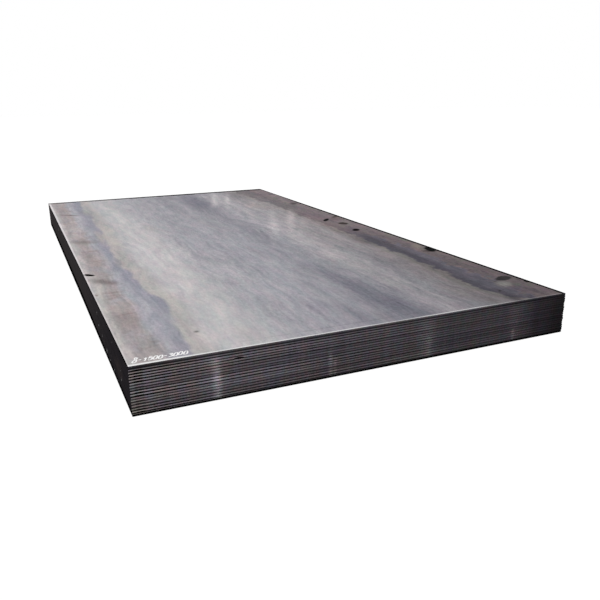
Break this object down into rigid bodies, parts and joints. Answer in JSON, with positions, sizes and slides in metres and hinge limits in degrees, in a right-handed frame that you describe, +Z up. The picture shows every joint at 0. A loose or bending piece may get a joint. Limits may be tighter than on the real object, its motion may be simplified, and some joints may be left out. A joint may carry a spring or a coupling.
{
  "type": "steel plate stack",
  "caption": "Square-set flat stack of like rectangular hot-rolled steel plates with mill scale, mill edges along the sides and sheared ends.",
  "frame": {"origin": "on the underside of the stack, at the middle of its outline", "axes": "+X across the plates' width, +Y along their length and rolling direction, +Z up through the pile; the front sheared end faces -Y"},
  "size_m": [1.503, 3.0019, 0.1437],
  "materials": {
    "mill_scale_plate": "satin",
    "marker_paint": "matte"
  },
  "bodies": {
    "root": {"plate_01": "mill_scale_plate", "plate_02": "mill_scale_plate", "plate_03": "mill_scale_plate", "plate_04": "mill_scale_plate", "plate_05": "mill_scale_plate", "plate_06": "mill_scale_plate", "plate_07": "mill_scale_plate", "plate_08": "mill_scale_plate", "plate_09": "mill_scale_plate", "plate_10": "mill_scale_plate", "plate_11": "mill_scale_plate", "plate_12": "mill_scale_plate", "plate_13": "mill_scale_plate", "plate_14": "mill_scale_plate", "plate_15": "mill_scale_plate", "plate_16": "mill_scale_plate", "plate_17": "mill_scale_plate", "plate_18": "mill_scale_plate"}
  },
  "joints": []
}
